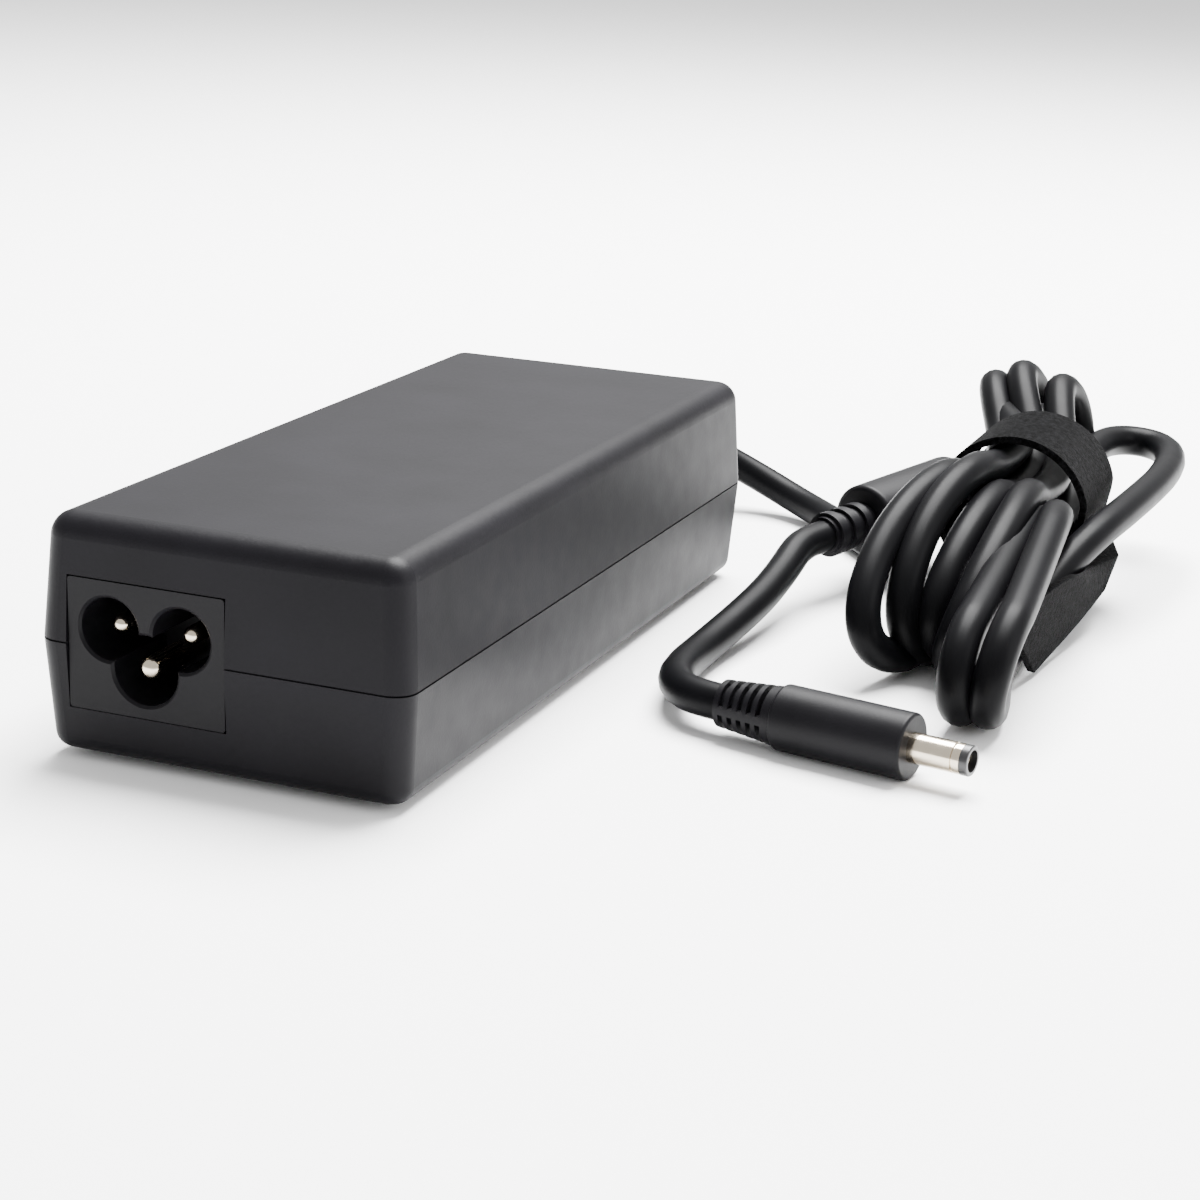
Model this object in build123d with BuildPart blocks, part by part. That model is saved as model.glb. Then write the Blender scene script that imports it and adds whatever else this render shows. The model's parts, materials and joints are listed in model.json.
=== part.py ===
"""Laptop power adapter: welded two-shell case, mains inlet, circuit board with its
components, and a tied low-voltage cord with a ferrite bead and a barrel plug.

Frame: millimetres, +Z up. The origin is on the resting surface, under the middle of
the case. The mains inlet is in the -Y end and the cord leaves the +Y end.
"""
from build123d import *
import os
from math import pi, radians, tan

# ---- driving dimensions -------------------------------------------------------------
# case
case_width = 51.0
case_length = 121.0
case_height = 30.5
foot_height = 1.0
base_z = foot_height
seam_z = base_z + 14.5
top_z = base_z + case_height
bottom_inset = 0.93
top_inset = 1.0
corner_radius = 3.0
bottom_fillet = 2.2
top_fillet = 3.1
wall = 2.2
groove_depth = 0.3
groove_half_height = 0.12
lip_thickness = 0.9
lip_height = 1.4
lip_clearance = 0.1
floor_z = base_z + wall
ceiling_z = top_z - wall

# feet
foot_radius = 4.0
foot_recess = 0.5
foot_x = 18.5
foot_y = 52.0

# mains inlet, three round pins in a cloverleaf cavity
inlet_x = -9.94
lobe_x = -10.12
inlet_width = 21.8
inlet_height = 16.8
inlet_bottom_z = 7.23
inlet_front_y = -60.05
inlet_gap = 0.15
inlet_depth = 15.0
inlet_flange_margin = 1.5
inlet_flange_depth = 1.5
inlet_flange_step = 1.1
cavity_depth = 12.5
lobe_radius = 4.03
earth_lobe_radius = 4.5
lobe_half_spacing = 5.0
power_lobe_z = 17.9
earth_lobe_z = 13.35
power_pin_radius = 1.2
earth_pin_radius = 1.5
power_pin_recess = 2.1
earth_pin_recess = 0.5
pin_rear_y = -42.6
shank_step = 0.2

# circuit board
board_width = 43.0
board_front_y = -44.5
board_rear_y = 56.0
board_z = 5.2
board_thickness = 1.6
deck_z = board_z + board_thickness
post_radius = 2.0
post_x = 18.5
post_front_y = -41.5
post_rear_y = 52.5
leg_radius = 0.4
body_lift = 1.4

# cord and gland
cord_diameter = 5.0
cord_radius = cord_diameter / 2
gland_z = seam_z
gland_hole_radius = 4.8
gland_end_y = 80.5

os.makedirs("parts", exist_ok=True)


# ---- helpers ------------------------------------------------------------------------
def cord_path(points):
    """Straight runs joined by tangent arcs, each as large as its two runs allow."""
    corners = [Vector(*p) for p in points]
    radii = []
    for before, at, after in zip(corners, corners[1:], corners[2:]):
        turn = (at - before).get_angle(after - at)
        shorter = min((at - before).length, (after - at).length)
        radii.append(0.45 * shorter / tan(radians(turn / 2)))
    print("arc radii", [round(r, 1) for r in radii])
    return FilletPolyline(*points, radius=radii)


def end_plane(points):
    """The plane across a route's first run, facing along it."""
    return Plane(origin=points[0], z_dir=Vector(*points[1]) - Vector(*points[0]))


def check_tube(name, solid, length):
    """Print a tube's volume beside its section times its length."""
    section = pi * cord_radius**2
    print(name, "length", round(length, 1), "volume ratio", round(solid.volume / (section * length), 4))


# ---- case shells --------------------------------------------------------------------
inlet_center_z = inlet_bottom_z + inlet_height / 2
window_width = inlet_width + 2 * inlet_gap
window_height = inlet_height + 2 * inlet_gap
shell_end_y = case_length / 2
window_plane = Plane.XZ.offset(shell_end_y - 2 * wall)
gland_plane = Plane.XZ.offset(-shell_end_y - 1)

with BuildPart() as lower_shell:
    with BuildSketch(Plane.XY.offset(base_z)):
        RectangleRounded(case_width - 2 * bottom_inset, case_length - 2 * bottom_inset, corner_radius)
    with BuildSketch(Plane.XY.offset(seam_z)):
        RectangleRounded(case_width, case_length, corner_radius)
    loft()
    fillet(lower_shell.faces().sort_by(Axis.Z)[0].edges(), bottom_fillet)
    # half of the parting groove
    with BuildSketch(Plane.XY.offset(seam_z - groove_half_height)):
        Rectangle(case_width + 1, case_length + 1)
        RectangleRounded(
            case_width - 2 * groove_depth, case_length - 2 * groove_depth, corner_radius, mode=Mode.SUBTRACT
        )
    extrude(amount=groove_half_height, mode=Mode.SUBTRACT)
    with BuildSketch(Plane.XY.offset(floor_z)):
        RectangleRounded(case_width - 2 * (wall + bottom_inset), case_length - 2 * (wall + bottom_inset), 1.2)
    with BuildSketch(Plane.XY.offset(seam_z)):
        RectangleRounded(case_width - 2 * wall, case_length - 2 * wall, 1.2)
    loft(mode=Mode.SUBTRACT)
    # lip that locates the upper shell
    with BuildSketch(Plane.XY.offset(seam_z - 1)):
        RectangleRounded(case_width - 2 * wall + lip_thickness, case_length - 2 * wall + lip_thickness, 1.6)
        RectangleRounded(
            case_width - 2 * wall - lip_thickness, case_length - 2 * wall - lip_thickness, 0.8, mode=Mode.SUBTRACT
        )
    extrude(amount=1 + lip_height)
    # inlet window and half of the gland hole
    with BuildSketch(window_plane):
        with Locations((inlet_x, inlet_center_z)):
            Rectangle(window_width, window_height)
    extrude(amount=4 * wall, mode=Mode.SUBTRACT)
    with BuildSketch(gland_plane):
        with Locations((0, gland_z)):
            Circle(gland_hole_radius)
    extrude(amount=4 * wall, mode=Mode.SUBTRACT)
    # posts under the circuit board
    with BuildSketch(Plane.XY.offset(floor_z - 0.5)):
        for post_y in (post_front_y, post_rear_y):
            with Locations((-post_x, post_y), (post_x, post_y)):
                Circle(post_radius)
    extrude(amount=board_z - floor_z + 0.5)
    # recesses for the feet
    with BuildSketch(Plane.XY.offset(base_z)):
        with GridLocations(2 * foot_x, 2 * foot_y, 2, 2):
            Circle(foot_radius)
    extrude(amount=foot_recess, mode=Mode.SUBTRACT)
lower_shell.part.label = "lower_shell"
export_step(lower_shell.part, "parts/lower_shell.step")

with BuildPart() as upper_shell:
    with BuildSketch(Plane.XY.offset(seam_z)):
        RectangleRounded(case_width, case_length, corner_radius)
    with BuildSketch(Plane.XY.offset(top_z)):
        RectangleRounded(case_width - 2 * top_inset, case_length - 2 * top_inset, corner_radius)
    loft()
    fillet(upper_shell.faces().sort_by(Axis.Z)[-1].edges(), top_fillet)
    # other half of the parting groove
    with BuildSketch(Plane.XY.offset(seam_z)):
        Rectangle(case_width + 1, case_length + 1)
        RectangleRounded(
            case_width - 2 * groove_depth, case_length - 2 * groove_depth, corner_radius, mode=Mode.SUBTRACT
        )
    extrude(amount=groove_half_height, mode=Mode.SUBTRACT)
    with BuildSketch(Plane.XY.offset(seam_z)):
        RectangleRounded(case_width - 2 * wall, case_length - 2 * wall, 1.2)
    with BuildSketch(Plane.XY.offset(ceiling_z)):
        RectangleRounded(case_width - 2 * (wall + top_inset), case_length - 2 * (wall + top_inset), 1.2)
    loft(mode=Mode.SUBTRACT)
    # rebate that takes the lower shell's lip
    rebate = lip_thickness + 2 * lip_clearance
    with BuildSketch(Plane.XY.offset(seam_z)):
        RectangleRounded(case_width - 2 * wall + rebate, case_length - 2 * wall + rebate, 1.7)
    extrude(amount=lip_height + lip_clearance, mode=Mode.SUBTRACT)
    with BuildSketch(window_plane):
        with Locations((inlet_x, inlet_center_z)):
            Rectangle(window_width, window_height)
    extrude(amount=4 * wall, mode=Mode.SUBTRACT)
    with BuildSketch(gland_plane):
        with Locations((0, gland_z)):
            Circle(gland_hole_radius)
    extrude(amount=4 * wall, mode=Mode.SUBTRACT)
upper_shell.part.label = "upper_shell"
export_step(upper_shell.part, "parts/upper_shell.step")

with BuildPart() as rubber_feet:
    with BuildSketch(Plane.XY):
        with GridLocations(2 * foot_x, 2 * foot_y, 2, 2):
            Circle(foot_radius - 0.05)
    extrude(amount=base_z + foot_recess)
    chamfer(rubber_feet.edges().group_by(Axis.Z)[0], 0.3)
rubber_feet.part.label = "rubber_feet"
export_step(rubber_feet.part, "parts/rubber_feet.step")

# ---- mains inlet --------------------------------------------------------------------
inlet_plane = Plane.XZ.offset(-inlet_front_y)
inlet_wall_y = -(shell_end_y - wall)
power_pin_x = (lobe_x - lobe_half_spacing, lobe_x + lobe_half_spacing)
cavity_floor_y = inlet_front_y + cavity_depth

with BuildPart() as inlet_housing:
    with BuildSketch(inlet_plane):
        with Locations((inlet_x, inlet_center_z)):
            RectangleRounded(inlet_width, inlet_height, 0.4)
    extrude(amount=-inlet_depth)
    # flange behind the case wall
    with BuildSketch(Plane.XZ.offset(-(inlet_wall_y + inlet_flange_step))):
        with Locations((inlet_x, inlet_center_z)):
            Rectangle(inlet_width + 2 * inlet_flange_margin, inlet_height + 2 * inlet_flange_margin)
    extrude(amount=-inlet_flange_depth)
    # cloverleaf cavity
    with BuildSketch(inlet_plane):
        with Locations(*[(x, power_lobe_z) for x in power_pin_x]):
            Circle(lobe_radius)
        with Locations((lobe_x, earth_lobe_z)):
            Circle(earth_lobe_radius)
    extrude(amount=-cavity_depth, mode=Mode.SUBTRACT)
    mouth = inlet_housing.faces().filter_by(Axis.Y).sort_by(Axis.Y)[0]
    chamfer(mouth.inner_wires().edges(), 0.35)
    # seats for the three pins
    with BuildSketch(inlet_plane.offset(-cavity_depth + 1)):
        with Locations(*[(x, power_lobe_z) for x in power_pin_x]):
            Circle(power_pin_radius - shank_step)
        with Locations((lobe_x, earth_lobe_z)):
            Circle(earth_pin_radius - shank_step)
    extrude(amount=-inlet_depth, mode=Mode.SUBTRACT)
inlet_housing.part.label = "inlet_housing"
export_step(inlet_housing.part, "parts/inlet_housing.step")


def contact_pin(x, z, radius, recess):
    """A round-nosed contact: a free length in the cavity and a thinner shank behind it."""
    tip_y = inlet_front_y + recess
    with BuildPart() as piece:
        with BuildSketch(Plane.XZ.offset(-cavity_floor_y)):
            with Locations((x, z)):
                Circle(radius)
        extrude(amount=cavity_floor_y - tip_y)
        fillet(piece.edges().sort_by(Axis.Y)[0], radius * 0.96)
        with BuildSketch(Plane.XZ.offset(-pin_rear_y)):
            with Locations((x, z)):
                Circle(radius - shank_step)
        extrude(amount=pin_rear_y - cavity_floor_y)
    return piece


line_pin = contact_pin(power_pin_x[0], power_lobe_z, power_pin_radius, power_pin_recess)
line_pin.part.label = "line_pin"
export_step(line_pin.part, "parts/line_pin.step")

neutral_pin = contact_pin(power_pin_x[1], power_lobe_z, power_pin_radius, power_pin_recess)
neutral_pin.part.label = "neutral_pin"
export_step(neutral_pin.part, "parts/neutral_pin.step")

earth_pin = contact_pin(lobe_x, earth_lobe_z, earth_pin_radius, earth_pin_recess)
earth_pin.part.label = "earth_pin"
export_step(earth_pin.part, "parts/earth_pin.step")

# ---- circuit board and wiring -------------------------------------------------------
board_center_y = (board_front_y + board_rear_y) / 2
board_length = board_rear_y - board_front_y

with BuildPart() as circuit_board:
    with BuildSketch(Plane.XY.offset(board_z)):
        with Locations((0, board_center_y)):
            RectangleRounded(board_width, board_length, 1.0)
    extrude(amount=board_thickness)
circuit_board.part.label = "circuit_board"
export_step(circuit_board.part, "parts/circuit_board.step")

sheet_thickness = 0.25
sheet_gap = 0.02
sheet_length = 110.0
with BuildPart() as insulation_sheet:
    with BuildSketch(Plane.XY.offset(floor_z + sheet_gap)):
        Rectangle(board_width, sheet_length)
        for post_y in (post_front_y, post_rear_y):
            with Locations((-post_x, post_y), (post_x, post_y)):
                Circle(post_radius + 0.4, mode=Mode.SUBTRACT)
    extrude(amount=sheet_thickness)
insulation_sheet.part.label = "insulation_sheet"
export_step(insulation_sheet.part, "parts/insulation_sheet.step")

wire_radius = 0.8
wire_landing_y = -41.0


def wire(x, z, plane_y, landing_y):
    """A wire from a terminal at (x, plane_y, z) down to the board's top face."""
    bend = 1.5
    with BuildPart() as piece:
        with BuildLine() as run:
            FilletPolyline((x, plane_y, z), (x, landing_y, z), (x, landing_y, deck_z), radius=bend * 0.6)
        with BuildSketch(Plane(origin=(x, plane_y, z), z_dir=(0, landing_y - plane_y, 0))):
            Circle(wire_radius)
        sweep(path=run.line)
    return piece


line_wire = wire(power_pin_x[0], power_lobe_z, pin_rear_y, wire_landing_y)
line_wire.part.label = "line_wire"
export_step(line_wire.part, "parts/line_wire.step")

neutral_wire = wire(power_pin_x[1], power_lobe_z, pin_rear_y, wire_landing_y)
neutral_wire.part.label = "neutral_wire"
export_step(neutral_wire.part, "parts/neutral_wire.step")

earth_wire = wire(lobe_x, earth_lobe_z, pin_rear_y, wire_landing_y)
earth_wire.part.label = "earth_wire"
export_step(earth_wire.part, "parts/earth_wire.step")

# ---- input filter -------------------------------------------------------------------
first_row_y = -34.8

with BuildPart() as fuse:
    with BuildSketch(Plane.XY.offset(deck_z + body_lift)):
        with Locations((-14.5, first_row_y)):
            Circle(4.2)
    extrude(amount=8)
    fillet(fuse.edges().sort_by(Axis.Z)[-1], 0.5)
    with BuildSketch(Plane.XY.offset(deck_z)):
        with Locations((-17.0, first_row_y), (-12.0, first_row_y)):
            Circle(leg_radius)
    extrude(amount=body_lift + 0.5)
fuse.part.label = "fuse"
export_step(fuse.part, "parts/fuse.step")


def disc_part(x, y, radius, thickness, along_x=False):
    """A round disc standing on two legs, such as a varistor."""
    center_z = deck_z + body_lift + radius
    plane = Plane.YZ.offset(x - thickness / 2) if along_x else Plane.XZ.offset(-y - thickness / 2)
    middle = (y, center_z) if along_x else (x, center_z)
    reach = radius * 0.5
    spots = [(x, y - reach), (x, y + reach)] if along_x else [(x - reach, y), (x + reach, y)]
    with BuildPart() as piece:
        with BuildSketch(plane):
            with Locations(middle):
                Circle(radius)
        extrude(amount=thickness)
        fillet(piece.edges(), thickness * 0.3)
        with BuildSketch(Plane.XY.offset(deck_z)):
            with Locations(*spots):
                Circle(leg_radius)
        extrude(amount=body_lift + radius * 0.5)
    return piece


varistor = disc_part(-3.0, first_row_y, 5.0, 4.4)
varistor.part.label = "varistor"
export_step(varistor.part, "parts/varistor.step")

inrush_thermistor = disc_part(8.5, first_row_y, 4.5, 4.0)
inrush_thermistor.part.label = "inrush_thermistor"
export_step(inrush_thermistor.part, "parts/inrush_thermistor.step")

input_y_capacitor = disc_part(17.0, first_row_y, 3.8, 3.4, along_x=True)
input_y_capacitor.part.label = "input_y_capacitor"
export_step(input_y_capacitor.part, "parts/input_y_capacitor.step")

second_row_y = -19.5
with BuildPart() as x_capacitor:
    with BuildSketch(Plane.XY.offset(deck_z)):
        with Locations((-14.5, second_row_y)):
            RectangleRounded(9, 18, 0.6)
    extrude(amount=15)
    fillet(x_capacitor.edges().group_by(Axis.Z)[-1], 0.5)
x_capacitor.part.label = "x_capacitor"
export_step(x_capacitor.part, "parts/x_capacitor.step")

choke_x = 2.0
choke_base_height = 1.5
choke_core_outer = 8.0
choke_core_inner = 4.5
choke_core_height = 7.0
choke_winding = 1.0
choke_core_z = deck_z + choke_base_height + choke_winding
winding_arc = 130

with BuildPart() as choke_base:
    with BuildSketch(Plane.XY.offset(deck_z)):
        with Locations((choke_x, second_row_y)):
            RectangleRounded(17, 17, 1.5)
    extrude(amount=choke_base_height)
choke_base.part.label = "choke_base"
export_step(choke_base.part, "parts/choke_base.step")

with BuildPart() as choke_core:
    with BuildSketch(Plane.XY.offset(choke_core_z)):
        with Locations((choke_x, second_row_y)):
            Circle(choke_core_outer)
            Circle(choke_core_inner, mode=Mode.SUBTRACT)
    extrude(amount=choke_core_height)
choke_core.part.label = "choke_core"
export_step(choke_core.part, "parts/choke_core.step")

with BuildPart() as choke_windings:
    for start in (-winding_arc / 2, 180 - winding_arc / 2):
        section = Plane(origin=(choke_x, second_row_y, choke_core_z), x_dir=(1, 0, 0), z_dir=(0, -1, 0))
        section = section.rotated((0, 0, start))
        core_middle = (choke_core_outer + choke_core_inner) / 2
        core_width = choke_core_outer - choke_core_inner
        with BuildSketch(section):
            with Locations((core_middle, choke_core_height / 2)):
                RectangleRounded(core_width + 2 * choke_winding, choke_core_height + 2 * choke_winding, 0.9)
                Rectangle(core_width + 0.04, choke_core_height + 0.04, mode=Mode.SUBTRACT)
        axis = Axis((choke_x, second_row_y, 0), (0, 0, 1))
        revolve(axis=axis, revolution_arc=winding_arc)
choke_windings.part.label = "choke_windings"
export_step(choke_windings.part, "parts/choke_windings.step")

with BuildPart() as bridge_rectifier:
    with BuildSketch(Plane.XY.offset(deck_z + body_lift)):
        with Locations((16.0, second_row_y)):
            Rectangle(4, 15)
    extrude(amount=11)
    chamfer(bridge_rectifier.faces().sort_by(Axis.Z)[-1].edges().filter_by(Axis.X), 1.2)
    with BuildSketch(Plane.XY.offset(deck_z)):
        with Locations((16.0, second_row_y)):
            with GridLocations(1, 3.8, 1, 4):
                Circle(leg_radius)
    extrude(amount=body_lift + 0.5)
bridge_rectifier.part.label = "bridge_rectifier"
export_step(bridge_rectifier.part, "parts/bridge_rectifier.step")

# ---- primary side -------------------------------------------------------------------
bulk_radius = 9.0
bulk_z = deck_z + bulk_radius + 0.1
with BuildPart() as bulk_capacitor:
    with BuildSketch(Plane.XZ.offset(9.0)):
        with Locations((-10.5, bulk_z)):
            Circle(bulk_radius)
    extrude(amount=-29)
    fillet(bulk_capacitor.edges(), 0.8)
bulk_capacitor.part.label = "bulk_capacitor"
export_step(bulk_capacitor.part, "parts/bulk_capacitor.step")

sink_top_z = 26.0
with BuildPart() as primary_heatsink:
    with BuildSketch(Plane.XY.offset(deck_z)):
        with Locations((19.75, 5.5)):
            Rectangle(1.5, 27)
    extrude(amount=sink_top_z - deck_z)
    with BuildSketch(Plane.XY.offset(sink_top_z - 1.5)):
        with Locations((17.0, 5.5)):
            Rectangle(7.0, 27)
    extrude(amount=1.5)
primary_heatsink.part.label = "primary_heatsink"
export_step(primary_heatsink.part, "parts/primary_heatsink.step")


def power_package(face_x, y, outward):
    """A flat three-legged package whose back lies on a heatsink face at face_x."""
    depth = 4.4
    center_x = face_x - outward * depth / 2
    with BuildPart() as piece:
        with BuildSketch(Plane.XY.offset(deck_z + 3.0)):
            with Locations((center_x, y)):
                Rectangle(depth, 10)
        extrude(amount=14)
        front = piece.faces().filter_by(Axis.X).sort_by(Axis.X)[0 if outward > 0 else -1]
        chamfer(front.edges(), 0.5)
        with BuildSketch(Plane.XY.offset(deck_z)):
            with Locations((center_x, y)):
                with GridLocations(1, 2.54, 1, 3):
                    Rectangle(0.5, 0.9)
        extrude(amount=3.5)
    return piece


switching_transistor = power_package(19.0, 5.0, 1)
switching_transistor.part.label = "switching_transistor"
export_step(switching_transistor.part, "parts/switching_transistor.step")


def window_core(x, y, width, depth, height, yoke, leg, lift):
    """An E-pair core: a frame with a round middle leg standing upright."""
    low = deck_z + lift
    with BuildPart() as piece:
        with BuildSketch(Plane.XY.offset(low)):
            with Locations((x, y)):
                Rectangle(width, depth)
        extrude(amount=height)
        with BuildSketch(Plane.XY.offset(low + yoke)):
            with Locations((x, y)):
                Rectangle(width - 2 * yoke, depth)
                Circle(leg, mode=Mode.SUBTRACT)
        extrude(amount=height - 2 * yoke, mode=Mode.SUBTRACT)
    return piece


def spool(x, y, leg, flange, low, height):
    """A bobbin: a sleeve round the middle leg with a flange at each end."""
    flange_thickness = 0.7
    sleeve = 0.7
    with BuildPart() as piece:
        with BuildSketch(Plane.XY.offset(low)):
            with Locations((x, y)):
                Circle(leg + 0.05 + sleeve)
                Circle(leg + 0.05, mode=Mode.SUBTRACT)
        extrude(amount=height)
        for flange_z in (low, low + height - flange_thickness):
            with BuildSketch(Plane.XY.offset(flange_z)):
                with Locations((x, y)):
                    Circle(flange)
                    Circle(leg + 0.05, mode=Mode.SUBTRACT)
            extrude(amount=flange_thickness)
    return piece


def coil(x, y, leg, outer, low, height):
    """The copper and tape wound on a bobbin."""
    clearance = 0.8
    with BuildPart() as piece:
        with BuildSketch(Plane.XY.offset(low + clearance)):
            with Locations((x, y)):
                Circle(outer)
                Circle(leg + clearance, mode=Mode.SUBTRACT)
        extrude(amount=height - 2 * clearance)
    return piece


# boost inductor
boost_x = 6.6
boost_y = 6.0
boost_leg = 3.0
boost_yoke = 2.5
boost_lift = 0.5
boost_height = 17.0
boost_window_z = deck_z + boost_lift + boost_yoke + 0.05
boost_window = boost_height - 2 * boost_yoke - 0.1

boost_core = window_core(boost_x, boost_y, 15.4, 9.0, boost_height, boost_yoke, boost_leg, boost_lift)
boost_core.part.label = "boost_core"
export_step(boost_core.part, "parts/boost_core.step")

boost_bobbin = spool(boost_x, boost_y, boost_leg, 5.1, boost_window_z, boost_window)
boost_bobbin.part.label = "boost_bobbin"
export_step(boost_bobbin.part, "parts/boost_bobbin.step")

boost_winding = coil(boost_x, boost_y, boost_leg, 4.9, boost_window_z, boost_window)
boost_winding.part.label = "boost_winding"
export_step(boost_winding.part, "parts/boost_winding.step")

# main transformer
transformer_x = -2.0
transformer_y = 30.2
transformer_leg = 4.6
transformer_yoke = 3.6
transformer_lift = 0.7
transformer_height = 19.6
transformer_window_z = deck_z + transformer_lift + transformer_yoke + 0.05
transformer_window = transformer_height - 2 * transformer_yoke - 0.1
transformer_top_z = deck_z + transformer_lift + transformer_height

transformer_core = window_core(
    transformer_x, transformer_y, 26.0, 13.0, transformer_height, transformer_yoke, transformer_leg, transformer_lift
)
transformer_core.part.label = "transformer_core"
export_step(transformer_core.part, "parts/transformer_core.step")

transformer_bobbin = spool(
    transformer_x, transformer_y, transformer_leg, 9.3, transformer_window_z, transformer_window
)
transformer_bobbin.part.label = "transformer_bobbin"
export_step(transformer_bobbin.part, "parts/transformer_bobbin.step")

transformer_winding = coil(
    transformer_x, transformer_y, transformer_leg, 9.0, transformer_window_z, transformer_window
)
transformer_winding.part.label = "transformer_winding"
export_step(transformer_winding.part, "parts/transformer_winding.step")

with BuildPart() as optocoupler:
    with BuildSketch(Plane.XY.offset(deck_z + 0.4)):
        with Locations((16.5, 25.5)):
            Rectangle(4.6, 6.5)
    extrude(amount=3.5)
    chamfer(optocoupler.faces().sort_by(Axis.Z)[-1].edges(), 0.4)
    with BuildSketch(Plane.XY.offset(deck_z)):
        with Locations((16.5, 25.5)):
            with GridLocations(2.54, 5.4, 2, 2):
                Rectangle(0.6, 0.6)
    extrude(amount=0.6)
optocoupler.part.label = "optocoupler"
export_step(optocoupler.part, "parts/optocoupler.step")

bridging_capacitor = disc_part(16.5, 34.5, 3.8, 3.4)
bridging_capacitor.part.label = "bridging_capacitor"
export_step(bridging_capacitor.part, "parts/bridging_capacitor.step")

with BuildPart() as control_chips:
    for chip_x, chip_y in ((5.0, 4.0), (12.0, 30.0), (0.0, 44.0)):
        with BuildSketch(Plane.XY.offset(board_z)):
            with Locations((chip_x, chip_y)):
                Rectangle(4.0, 5.0)
        extrude(amount=-1.4)
control_chips.part.label = "control_chips"
export_step(control_chips.part, "parts/control_chips.step")

# ---- output side --------------------------------------------------------------------
output_row_y = 46.6
with BuildPart() as output_capacitors:
    with BuildSketch(Plane.XY.offset(deck_z)):
        with Locations((-6.2, output_row_y), (5.2, output_row_y)):
            Circle(5.0)
    extrude(amount=20)
    fillet(output_capacitors.edges().filter_by(GeomType.CIRCLE), 0.6)
output_capacitors.part.label = "output_capacitors"
export_step(output_capacitors.part, "parts/output_capacitors.step")

with BuildPart() as secondary_heatsink:
    with BuildSketch(Plane.XY.offset(deck_z)):
        with Locations((-19.75, 46.5)):
            Rectangle(1.5, 17)
    extrude(amount=sink_top_z - deck_z)
    with BuildSketch(Plane.XY.offset(sink_top_z - 1.5)):
        with Locations((-17.0, 46.5)):
            Rectangle(7.0, 17)
    extrude(amount=1.5)
secondary_heatsink.part.label = "secondary_heatsink"
export_step(secondary_heatsink.part, "parts/secondary_heatsink.step")

output_rectifier = power_package(-19.0, output_row_y, -1)
output_rectifier.part.label = "output_rectifier"
export_step(output_rectifier.part, "parts/output_rectifier.step")

output_choke_x = 15.6
with BuildPart() as output_choke_core:
    with BuildSketch(Plane.XY.offset(deck_z)):
        with Locations((output_choke_x, output_row_y)):
            Circle(2.5)
    extrude(amount=15)
output_choke_core.part.label = "output_choke_core"
export_step(output_choke_core.part, "parts/output_choke_core.step")

with BuildPart() as output_choke_winding:
    with BuildSketch(Plane.XY.offset(deck_z + 1.0)):
        with Locations((output_choke_x, output_row_y)):
            Circle(4.1)
            Circle(2.55, mode=Mode.SUBTRACT)
    extrude(amount=13)
output_choke_winding.part.label = "output_choke_winding"
export_step(output_choke_winding.part, "parts/output_choke_winding.step")

gland_inner_y = 56.6
positive_wire = wire(-2.2, gland_z, gland_inner_y, 54.0)
positive_wire.part.label = "positive_wire"
export_step(positive_wire.part, "parts/positive_wire.step")

return_wire = wire(2.2, gland_z, gland_inner_y, 54.0)
return_wire.part.label = "return_wire"
export_step(return_wire.part, "parts/return_wire.step")

# ---- heat spreader ------------------------------------------------------------------
spreader_half_width = 21.5
spreader_thickness = 0.6
spreader_top_z = ceiling_z - 0.2
spreader_low_z = 19.0
spreader_length = 96.0
spreader_center_y = 4.0

with BuildPart() as heat_spreader:
    with BuildSketch(Plane.XZ.offset(-(spreader_center_y - spreader_length / 2))):
        with BuildLine():
            Polyline(
                (-spreader_half_width, spreader_low_z),
                (-spreader_half_width, spreader_top_z),
                (spreader_half_width, spreader_top_z),
                (spreader_half_width, spreader_low_z),
                (spreader_half_width - spreader_thickness, spreader_low_z),
                (spreader_half_width - spreader_thickness, spreader_top_z - spreader_thickness),
                (-spreader_half_width + spreader_thickness, spreader_top_z - spreader_thickness),
                (-spreader_half_width + spreader_thickness, spreader_low_z),
                close=True,
            )
        make_face()
    extrude(amount=-spreader_length)
heat_spreader.part.label = "heat_spreader"
export_step(heat_spreader.part, "parts/heat_spreader.step")

with BuildPart() as thermal_pad:
    with BuildSketch(Plane.XY.offset(transformer_top_z)):
        with Locations((transformer_x, transformer_y)):
            Rectangle(22, 12)
    extrude(amount=spreader_top_z - spreader_thickness - transformer_top_z)
thermal_pad.part.label = "thermal_pad"
export_step(thermal_pad.part, "parts/thermal_pad.step")

# ---- cord gland ---------------------------------------------------------------------
gland_root_radius = 4.6
gland_tip_radius = 3.1
gland_collar_y = shell_end_y + 0.2
gland_taper_y = gland_collar_y + 2.0
gland_slots = 6
gland_slot_pitch = 2.6

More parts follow.
